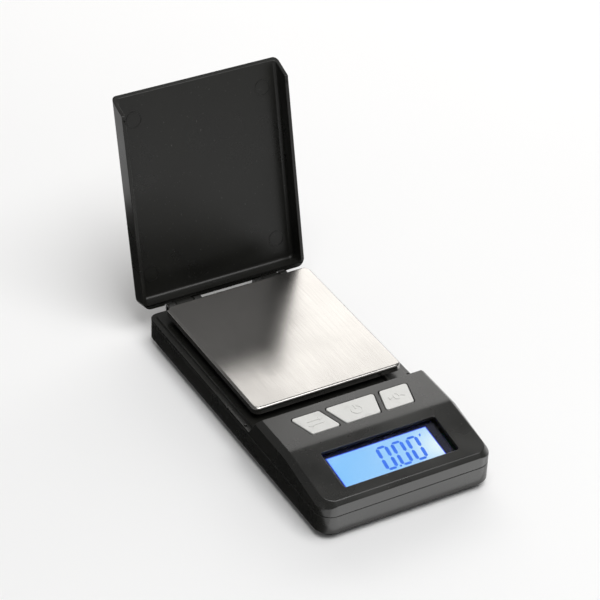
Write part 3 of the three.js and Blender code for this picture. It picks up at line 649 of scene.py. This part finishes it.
def upper_case(finish):
    lid_space = prism(
        [(ear_line(TOP + 2), TOP + 2), (ear_line(LEDGE), LEDGE), (LENGTH + 5, LEDGE), (LENGTH + 5, TOP + 2)],
        -HALF - 5, HALF + 5, "X",
    )
    well = box((-DECK_HALF, DECK_HALF), (HOOD_REAR, 52), (DECK, TOP + 2))
    case = cut(hood_block(), lid_space, well)
    deck = rounded_slab((-DECK_HALF, DECK_HALF), (HOOD_REAR - 1, DECK_REAR), (SEAM + 0.3, DECK), 1.5)
    join(case, deck, box(*RIB))
    inner = DECK_HALF - WALL
    under_deck = box((-inner, inner), (HOOD_REAR - 4, DECK_REAR - WALL), (0, DECK_UNDERSIDE))
    spacer_hole = rounded_slab(*SPACER_HOLE, 1.5)
    window = moved(rounded_slab((-WINDOW_HALF, WINDOW_HALF), WINDOW_ENDS, (-5, 5), 0.8), ON_SLOPE)
    keys = [prism(button_outline(name, 0, 1.1), TOP - 3, TOP + 1) for name in BUTTONS]
    cut(case, hood_cavity(), under_deck, spacer_hole, window, *keys, *hinge_notches())
    bosses = [
        post(x, y, BOSS_RADIUS, (BOSS_BOTTOM, 13 if y < HOOD_REAR else DECK_UNDERSIDE + 0.2))
        for x, y in CASE_SCREWS
    ]
    posts = [post(x, y, POST_RADIUS, (POST_BOTTOM, TOP - SKIN + 0.2)) for x, y in BOARD_POSTS]
    join(case, *bosses, *posts)
    pilots = [post(x, y, SCREW_PILOT, (0, SEAM - 0.2)) for x, y in CASE_SCREWS]
    pilots += [post(x, y, BOARD_PILOT, (13, 15.8)) for x, y in BOARD_POSTS]
    holes = both_sides(lambda side: post(side * LATCH.x, LATCH.y, LATCH_HOLE_RADIUS, (LEDGE - 0.9, TOP)))
    cut(case, *pilots, *holes)
    return shown(softened(case), "upper_case_shell", "case", finish, "case_black", "upper_case")


def bay_walls():
    outer = BAY_HALF + BAY_WALL
    front, rear = BAY_ENDS
    zs = (0, BAY_WALL_TOP)
    return [
        box((-outer, outer), (front - BAY_WALL, front), zs),
        box((-outer, outer), (rear, rear + BAY_WALL), zs),
        box((-outer, -BAY_HALF), (front - 0.1, rear + 0.1), zs),
        box((BAY_HALF, outer), (front - 0.1, rear + 0.1), zs),
        box((BAY_HALF, HALF), (front - BAY_WALL, rear + BAY_WALL), (0, 3.2)),
    ]


def hinge_lug(span):
    web_top = SEAM - SEAM_GAP / 2
    web = [(LENGTH - 0.5, 4.2), (HINGE.x + 1.2, 7.4), (HINGE.x, web_top), (LENGTH - 0.5, web_top)]
    lug = join(rod(span, HINGE, BARREL_RADIUS), prism(web, *span, "X"))
    return cut(lug, box((span[0] - 1, span[1] + 1), (LENGTH - 3, LENGTH + 0.15), (web_top, TOP)))


def lower_case(finish):
    case = bevelled_block(SEAM - SEAM_GAP / 2)
    cavity = rounded_slab((-INNER_HALF, INNER_HALF), (WALL, LENGTH - WALL), (FLOOR_TOP, TOP), 2)
    pillars = [post(x, y, PILLAR_RADIUS, (FLOOR_TOP - 1, 4.2)) for x, y in CASE_SCREWS]
    cut(cavity, *bay_walls(), *pillars, box(*CELL_PAD))
    doorway = (-BAY_HALF - DOOR_GAP, HALF + 1)
    front, rear = BAY_ENDS
    openings = [
        box((-BAY_HALF, BAY_HALF), BAY_ENDS, (0, FLOOR_TOP + 1)),
        box(doorway, (front + DOOR_GAP, rear - DOOR_GAP), (0, DOOR_TONGUE)),
        box(doorway, (front - 0.7, rear + 0.7), (DOOR_TONGUE, DOOR_TOP + DOOR_GAP)),
    ]
    screw_holes = [post(x, y, radius, (0, top)) for radius, top in SCREW_HOLES for x, y in CASE_SCREWS]
    cell_holes = [post(0, y, radius, (0, top)) for y in CELL_SCREWS for radius, top in CELL_HOLES]
    recesses = [post(x, y, FOOT_RECESS[0], (0, FOOT_RECESS[1]), 48) for x, y in FEET]
    cut(case, cavity, *openings, *screw_holes, *cell_holes, *recesses, *hinge_notches())
    lugs = [hinge_lug(mirrored(span, side)) for span in (LUG_OUTER, LUG_INNER) for side in (-1, 1)]
    join(case, *lugs)
    cut(case, *hinge_bores())
    return shown(softened(case), "lower_case_shell", "case", finish, "case_black", "lower_case")


def battery_door(finish):
    xs = (-BAY_HALF, HALF)
    front, rear = BAY_ENDS
    panel = box(xs, (front + 2 * DOOR_GAP, rear - 2 * DOOR_GAP), (BOTTOM, DOOR_TOP))
    tongue = box(xs, (front - 0.5, rear + 0.5), (DOOR_TONGUE + 0.1, DOOR_TOP))
    door = overlap(join(panel, tongue), bevelled_block(SEAM))
    grips = [box((25 - 1.6 * i, 25.8 - 1.6 * i), (30, 38), (0, BOTTOM + 0.35)) for i in range(5)]
    cut(door, *grips)
    return shown(
        softened(door, 0.12, 2), "battery_door_panel", "battery_door", finish, "door_black", "battery_door",
    )


# ---------------------------------------------------------------- lid

def lid_shell():
    outline = half_outline(HALF, (20, LENGTH), (REAR_RADIUS, REAR_RADIUS), (44, 60, 90))

    def edge(wide, down):
        def inset(_, out):
            return wide * (LID_CORNER.x + (SIDE_EDGE.x - LID_CORNER.x) * abs(out.x))

        def height(_, out):
            return TOP - down * (LID_CORNER.y + (SIDE_EDGE.y - LID_CORNER.y) * abs(out.x))
        return ring(outline, inset, height)

    shell = loft([ring(outline, 0, LID_RIM)] + [edge(*shares) for shares in quarter()])
    inner = half_outline(HALF - LID_WALL, (10, LENGTH - LID_WALL), (1.7, 1.7), (44, 60, 90))
    ceiling = TOP - LID_WALL
    fillet = [ring(inner, wide * LID_FILLET, ceiling - down * LID_FILLET) for wide, down in quarter()]
    inside = loft([ring(inner, 0, LID_RIM - 2)] + fillet)
    low, high = LID_RIM - 2, TOP + 2
    end_line = [(ear_line(z) + LID_GAP, z) for z in (low, high)]
    free_end = prism([(5, low), *end_line, (5, high)], -HALF - 5, HALF + 5, "X")
    return cut(shell, inside, free_end)


def lid_lug(span):
    arm = [
        (LENGTH - LID_WALL, 11), (LENGTH - 0.2, 10.9), (LENGTH + 0.4, HINGE.y + 0.6),
        (HINGE.x + 1.9, HINGE.y + 0.5), (LENGTH + 1, 13.6), (LENGTH - LID_WALL, 14),
    ]
    return join(rod(span, HINGE, LID_BARREL_RADIUS), prism(arm, *span, "X"))


def pin_marks():
    """Round marks, slightly raised, that the mould's pins leave on the inner face."""
    ceiling = TOP - LID_WALL
    rings = [
        cut(post(x, y, 2.9, (ceiling - 0.15, ceiling + 0.2), 48), post(x, y, 2.6, (ceiling - 2, TOP), 48))
        for x, y in PIN_MARKS
    ]
    return join(rings[0], *rings[1:])


def latch_pins():
    heights = (LID_RIM - 0.7, LID_RIM + 0.5)
    left, right = both_sides(lambda side: post(side * LATCH.x, LATCH.y, LATCH_PIN_RADIUS, heights))
    return join(left, right)


def lid(finish):
    passing = [
        rod(
            mirrored((span[0] - LUG_END_GAP, span[1] + LUG_END_GAP), side),
            HINGE, BARREL_RADIUS + HINGE_CLEARANCE,
        )
        for span in (LUG_OUTER, LUG_INNER) for side in (-1, 1)
    ]
    shell = join(lid_shell(), *both_sides(lambda side: lid_lug(mirrored(LUG_MIDDLE, side))))
    softened(cut(shell, *passing, *hinge_bores()), 0.2)
    hinge = Vector((0, *HINGE))
    swing = Matrix.Translation(hinge) @ Matrix.Rotation(-OPEN_ANGLE, 4, "X") @ Matrix.Translation(-hinge)
    shown(moved(shell, swing), "lid_shell", "lid", finish, "lid_black", "lid")
    shown(moved(pin_marks(), swing), "lid_pin_marks", "lid", finish, "lid_black")
    shown(moved(latch_pins(), swing), "lid_latch_pins", "lid", finish, "lid_black")


# ---------------------------------------------------------------- tray

def weighing_tray(finish):
    """A steel sheet with its edge folded down: inner face, rim and outer face in one closed skin."""
    low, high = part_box("weighing_tray")
    front, rear = ((corner.y / MM - UPPER_LOW.y) for corner in (low, high))
    bottom, top = low.z / MM, high.z / MM
    outline = half_outline(high.x / MM, (front, rear), (2.5, 2.5), (front + 20, front + 44))
    inner_bend = TRAY_BEND - TRAY_SHEET
    under = top - TRAY_SHEET
    rings = [
        ring(outline, TRAY_SHEET + wide * inner_bend, under - down * inner_bend)
        for wide, down in reversed(quarter(3))
    ]
    lip = 0.12
    rings += [
        ring(outline, TRAY_SHEET, bottom + lip), ring(outline, TRAY_SHEET - lip, bottom),
        ring(outline, lip, bottom), ring(outline, 0, bottom + lip),
    ]
    rings += [ring(outline, wide * TRAY_BEND, top - down * TRAY_BEND) for wide, down in quarter(8)]
    return shown(loft(rings), "steel_tray", "platform", finish, "tray_steel", "weighing_tray")


# ---------------------------------------------------------------- buttons

def bar(xs, ys, zs):
    return rounded_slab(xs, ys, zs, min(xs[1] - xs[0], ys[1] - ys[0]) * 0.3)


def arrow_head(x, y, pointing, zs):
    corners = [(x + pointing * 1.0, y), (x - pointing * 0.5, y + 0.85), (x - pointing * 0.5, y - 0.85)]
    return prism(corners if pointing < 0 else corners[::-1], *zs)


def raised_ring(x, y, size, zs, width=0.38):
    """An upright oval ring of the given half sizes."""
    def oval(half_x, half_y):
        return [(x + half_x * (px - x), y + half_y * (py - y)) for px, py in circle(x, y, 1, 48)]
    hole = prism(oval(size[0] - width, size[1] - width), zs[0] - 1, zs[1] + 1)
    return cut(prism(oval(*size), *zs), hole)


def button_marks(name):
    """A generic raised sign on each key: swap arrows, a ring with a bar, and a zero between arrows."""
    middle = sum(BUTTONS[name][0]) / 2
    y = sum(BUTTON_ENDS) / 2
    zs = (BUTTON_TOP - 0.1, BUTTON_TOP + 0.1)
    if name == "power":
        circle_sign = raised_ring(middle, y - 0.2, (2.1, 2.1), zs, 0.42)
        gap = box((middle - 0.75, middle + 0.75), (y + 0.8, y + 3), (zs[0] - 1, zs[1] + 1))
        return [cut(circle_sign, gap), bar((middle - 0.22, middle + 0.22), (y + 0.1, y + 2.5), zs)]
    if name == "mode":
        return [
            bar((middle - 2.6, middle + 1.8), (y + 0.85, y + 1.25), zs),
            arrow_head(middle + 2.2, y + 1.05, 1, zs),
            bar((middle - 1.8, middle + 2.6), (y - 1.25, y - 0.85), zs),
            arrow_head(middle - 2.2, y - 1.05, -1, zs),
        ]
    return [
        raised_ring(middle, y, (1.1, 1.7), zs),
        arrow_head(middle - 2.3, y, 1, zs),
        arrow_head(middle + 2.3, y, -1, zs),
    ]


def button(name, finish):
    foot_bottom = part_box(f"{name}_button")[0].z / MM
    shoulder = TOP - SKIN - 0.1
    cap = prism(button_outline(name, BUTTON_GAP, 0.9), shoulder - 0.4, BUTTON_TOP - 0.1)
    softened(cap, 0.28, 4)
    flange = prism(button_outline(name, -0.35, 1.2), shoulder - 0.6, shoulder)
    foot = post(sum(BUTTONS[name][0]) / 2, sum(BUTTON_ENDS) / 2, 1.5, (foot_bottom, shoulder - 0.3))
    join(cap, flange, foot)
    marks = [moved(mark, Matrix.Translation((0, 0, -0.1))) for mark in button_marks(name)]
    join(cap, *marks)
    return shown(cap, f"{name}_key", f"{name}_button", finish, "button_silver", f"{name}_button")


# ---------------------------------------------------------------- display

def display_window(finish):
    lens = moved(softened(rounded_slab((-21.6, 21.6), (2.6, 20.4), LENS, 0.8), 0.1, 2), ON_SLOPE)
    return shown(lens, "window_lens", "case", finish, "window_clear", "display_window")


def lcd_panel(border, lit, rim):
    glass = box((-20.5, 20.5), (2.8, 20.3), (GLASS_BOTTOM, GLASS_TOP - 0.03))
    softened(glass, 0.1, 2)
    shown(moved(glass, ON_SLOPE), "lcd_panel", "case", border, "lcd_blue", "lcd_glass")
    xs, ys = LIT_SIDES, LIT_ENDS
    face = prism(rectangle(xs, ys), GLASS_TOP - 0.02, GLASS_TOP)
    shown(moved(softened(face, 0.005, 1), ON_SLOPE), "lcd_lit_face", "case", lit, "lcd_blue")
    wide = rectangle((xs[0] - LIT_RIM, xs[1] + LIT_RIM), (ys[0] - LIT_RIM, ys[1] + LIT_RIM))
    frame_line = cut(prism(wide, GLASS_TOP - 0.025, GLASS_TOP - 0.005), box(xs, ys, (-9, 9)))
    shown(moved(frame_line, ON_SLOPE), "lcd_frame_line", "case", rim, "lcd_blue")


def segment(start, end, width, zs):
    """A display segment: a bar with pointed ends."""
    a, b = Vector(start), Vector(end)
    along = (b - a).normalized()
    across = Vector((-along.y, along.x)) * width / 2
    tip = along * width / 2
    outline = [a, a + tip - across, b - tip - across, b, b - tip + across, a + tip + across]
    return prism([tuple(point) for point in outline], *zs)


def lcd_digits(finish):
    """Three leaning zeros with a point after the first, and a small mark for the unit."""
    zs = (GLASS_TOP + 0.005, GLASS_TOP + 0.03)
    base, tall, lean, gap = 6.5, 9.3, 0.85, 0.16
    upright, level = 1.2, 0.95

    def leaning(x, height):
        return x + lean * height / tall, base + height

    strokes = []
    for left in (-3.3, 2.2, 7.7):
        right = left + 3.25
        for x in (left, right):
            strokes.append(segment(leaning(x, gap), leaning(x, tall / 2 - gap), upright, zs))
            strokes.append(segment(leaning(x, tall / 2 + gap), leaning(x, tall - gap), upright, zs))
        for height in (0, tall):
            start, end = leaning(left + gap, height), leaning(right - gap, height)
            strokes.append(segment(start, end, level, zs))
    strokes.append(prism(rounded(rectangle((0.85, 1.55), (base - 0.4, base + 0.35)), 0.15, 3), *zs))
    strokes.append(prism(rounded([(13, 15.1), (13.6, 15.1), (14.2, 16.2), (13.5, 16.2)], 0.2, 3), *zs))
    digits = strokes[0]
    join(digits, *strokes[1:])
    return shown(moved(digits, ON_SLOPE), "lcd_digits", "case", finish, "lcd_blue")


# ---------------------------------------------------------------- small parts

def turned(x, y, profile, steps=48):
    """A solid turned round a vertical line from (radius, height) points that start and end on it."""
    def build(bm):
        rows = []
        for radius, z in profile:
            if radius == 0:
                rows.append([bm.verts.new((x, y, z))])
            else:
                rows.append([bm.verts.new((*point, z)) for point in circle(x, y, radius, steps)])
        for lower, upper in zip(rows, rows[1:]):
            for i in range(steps):
                j = (i + 1) % steps
                below = [lower[i % len(lower)], lower[j % len(lower)]]
                above = [upper[j % len(upper)], upper[i % len(upper)]]
                bm.faces.new(dict.fromkeys(below + above))
    return solid("turned", build)


def rubber_foot(corner, place, finish):
    """A round stick-on foot with a rounded lower edge and a shallow dish underneath."""
    radius, top, edge = FOOT_RADIUS, FOOT_RECESS[1], 0.5
    arc = [(radius - edge * wide, edge * down) for wide, down in reversed(quarter())]
    profile = [(0, 0.12), (1.6, 0.1), (2.2, 0)] + arc + [(radius, top), (0, top)]
    foot = turned(*place, profile)
    return shown(foot, f"foot_{corner}", "case", finish, "foot_rubber", f"rubber_foot_{corner}")


def pan_screw(name, node, place, head, shank, finish):
    """A pan-head screw with a cross recess. head and shank are (radius, lower end, upper end)."""
    radius, seat, end = head[0], head[2], shank[2]
    dome = [
        (radius * (1 - wide), head[1] + 0.5 * (1 - math.sqrt(1 - (1 - wide) ** 2)))
        for wide, _ in quarter()
    ]
    dome.reverse()
    threads = []
    pitch, height = 0.5, seat
    while height + pitch < end - 0.6:
        threads += [(shank[0] * 0.82, height + 0.05), (shank[0], height + pitch / 2)]
        height += pitch
    profile = dome + [(radius, seat)] + threads + [(shank[0] * 0.6, end - 0.3), (0, end)]
    screw = turned(*place, profile, 32)
    x, y = place
    arms = [
        box((x - 1.1, x + 1.1), (y - 0.2, y + 0.2), (head[1] - 1, head[1] + 0.6)),
        box((x - 0.2, x + 0.2), (y - 1.1, y + 1.1), (head[1] - 1, head[1] + 0.6)),
    ]
    cut(screw, *arms)
    return shown(screw, name, "case", finish, "screw_steel", node)


# ---------------------------------------------------------------- camera and studio

AZIMUTH = math.radians(-30.71)
ELEVATION = math.radians(35.17)
ROLL = math.radians(2.36)
DISTANCE = 0.8579
LENS_LENGTH = 149.1
AIM = TO_ROW @ Vector((19.47, 104.99, 10))


def make_camera():
    camera = bpy.data.objects.new("camera", bpy.data.cameras.new("camera"))
    bpy.context.collection.objects.link(camera)
    bpy.context.scene.camera = camera
    camera.data.lens = LENS_LENGTH
    camera.data.sensor_width = 36
    camera.data.clip_start = 0.01
    camera.data.clip_end = 50
    back = Vector((
        math.sin(AZIMUTH) * math.cos(ELEVATION),
        -math.cos(AZIMUTH) * math.cos(ELEVATION),
        math.sin(ELEVATION),
    ))
    right = Vector((0, 0, 1)).cross(back).normalized()
    level = Matrix((right, back.cross(right), back)).transposed()
    camera.matrix_world = (
        Matrix.Translation(AIM + back * DISTANCE) @ level.to_4x4() @ Matrix.Rotation(ROLL, 4, "Z")
    )


def area_light(name, location, size, radiance, color=(1, 1, 1), aim=(0, 0, 0)):
    """A rectangular light that points at aim, with the given radiance. The camera doesn't see it."""
    data = bpy.data.lights.new(name, "AREA")
    data.shape = "RECTANGLE"
    data.size, data.size_y = size
    data.energy = radiance * math.pi * size[0] * size[1]
    data.color = color
    light = bpy.data.objects.new(name, data)
    bpy.context.collection.objects.link(light)
    light.location = location
    light.rotation_euler = (Vector(aim) - Vector(location)).to_track_quat("-Z", "Y").to_euler()
    light.visible_camera = False


def floor():
    plane = solid("floor", lambda bm: bmesh.ops.create_grid(bm, x_segments=1, y_segments=1, size=4))
    material, tree, shader = new_material("floor", Roughness=0.9, Specular_IOR_Level=0.1)
    tone = mixed(tree, ranged(tree, noise(tree, 3, 2), 0, 1), (0.88, 0.88, 0.88), (0.9, 0.9, 0.9))
    tree.links.new(tone, shader.inputs["Base Color"])
    plane.data.materials.append(material)


def side_flag():
    """A black card on the floor to the left, seen only in reflections, which keeps that side dark."""
    beside = HALF + 0.8
    card = box((-beside - 120, -beside), (-60, 200), (0.1, 0.5))
    card.data.transform(TO_ROW)
    card.name = "side_flag"
    material, tree, shader = new_material("flag_felt", Roughness=0.95, Specular_IOR_Level=0.05)
    felt = mixed(tree, ranged(tree, noise(tree, 400, 3), 0, 1), (0.01, 0.01, 0.01), (0.03, 0.03, 0.03))
    tree.links.new(felt, shader.inputs["Base Color"])
    card.data.materials.append(material)
    card.visible_camera = False
    card.visible_diffuse = False
    card.visible_shadow = False


def studio():
    bpy.context.scene.view_settings.view_transform = "Standard"
    world = bpy.data.worlds.new("studio")
    bpy.context.scene.world = world
    world.use_nodes = True
    background = world.node_tree.nodes["Background"]
    background.inputs["Color"].default_value = (1, 1, 1, 1)
    background.inputs["Strength"].default_value = 0.22
    area_light("back_card", (0.46, 0.77, 0.45), (1.5, 0.54), 2.5, (1.0, 0.985, 0.965))
    area_light("top_softbox", (0.1, -0.35, 1.1), (0.9, 0.9), 4.3)
    front = UPPER_LOW.y * MM - 0.072
    area_light("floor_card", (0.0, front, 0.002), (0.14, 0.14), 1.1, aim=(0.0, front, 1.0))
    floor()
    side_flag()


# ---------------------------------------------------------------- the object

def finishes():
    """A finish for each of the record's material slots."""
    return {
        "case_black": moulded_plastic("case_plastic", (0.012, 0.012, 0.0105), 0.28, 0.004, 0.62),
        "lid_black": moulded_plastic("lid_plastic", (0.012, 0.012, 0.0105), 0.3, 0.003, 0.38),
        "door_black": moulded_plastic("door_plastic", (0.022, 0.022, 0.02), 0.4),
        "carrier_black": moulded_plastic("carrier_plastic", (0.012, 0.012, 0.012), 0.5),
        "tray_steel": brushed_metal("brushed_steel", (0.4, 0.388, 0.372), 0.2, (60, 1, 60), 0.002),
        "button_silver": silver_paint("silver_paint"),
        "window_clear": clear_plastic("clear_plastic"),
        "lcd_blue": moulded_plastic("lcd_border", (0.003, 0.004, 0.03), 0.2, 0.0005),
        "backlight_white": moulded_plastic("diffuser", (0.75, 0.82, 0.9), 0.5, 0.002),
        "board_green": circuit_board("circuit_board"),
        "chip_black": moulded_plastic("chip_epoxy", (0.012, 0.012, 0.012), 0.6),
        "switch_metal": brushed_metal("switch_plate", (0.6, 0.6, 0.58), 0.35, (20, 1, 20)),
        "zebra_rubber": soft_rubber("zebra_rubber", (0.06, 0.05, 0.05)),
        "ribbon_grey": moulded_plastic("ribbon_film", (0.5, 0.48, 0.43), 0.45),
        "cable_grey": moulded_plastic("cable_sheath", (0.55, 0.52, 0.47), 0.5),
        "battery_wrap": battery_film("battery_film"),
        "contact_steel": brushed_metal("contact_nickel", (0.66, 0.65, 0.62), 0.22, (20, 1, 20)),
        "cell_aluminium": brushed_metal("machined_aluminium", (0.6, 0.61, 0.61), 0.38, (1, 30, 30)),
        "sealant_white": soft_rubber("sealant", (0.7, 0.68, 0.62)),
        "screw_steel": brushed_metal("zinc_plate", (0.42, 0.42, 0.4), 0.35, (10, 10, 1)),
        "pin_steel": brushed_metal("ground_steel", (0.5, 0.5, 0.48), 0.3, (1, 40, 40)),
        "foot_rubber": soft_rubber("foot_rubber", (0.02, 0.02, 0.02)),
    }


def dress_frame(finish):
    """Gives every CAD node the finish of its slot."""
    for row in frame["record"]["subparts"]:
        node = frame["nodes"][row["node"]]
        for slot in node.material_slots:
            slot.material = finish[row["material_slot"]]


def build_object():
    finish = finishes()
    dress_frame(finish)
    upper_case(finish["case_black"])
    lower_case(finish["case_black"])
    battery_door(finish["door_black"])
    lid(finish["lid_black"])
    weighing_tray(finish["tray_steel"])
    for name in BUTTONS:
        button(name, finish["button_silver"])
    display_window(finish["window_clear"])
    rim = blue_segments("lcd_rim", (0.003, 0.03, 0.75), (0.006, 0.05, 0.9))
    lcd_panel(finish["lcd_blue"], lit_glass("lcd_lit"), rim)
    lcd_digits(blue_segments("lcd_segments", (0.02, 0.15, 0.84), (0.04, 0.2, 0.95)))
    corners = ["front_left", "front_right", "rear_left", "rear_right"]
    for corner, place, screw in zip(corners, FEET, CASE_SCREWS):
        rubber_foot(corner, place, finish["foot_rubber"])
        node = f"case_screw_{corner}"
        pan_screw(f"screw_{corner}", node, screw, SCREW_HEAD, SCREW_SHANK, finish["screw_steel"])


make_camera()
studio()
build_object()
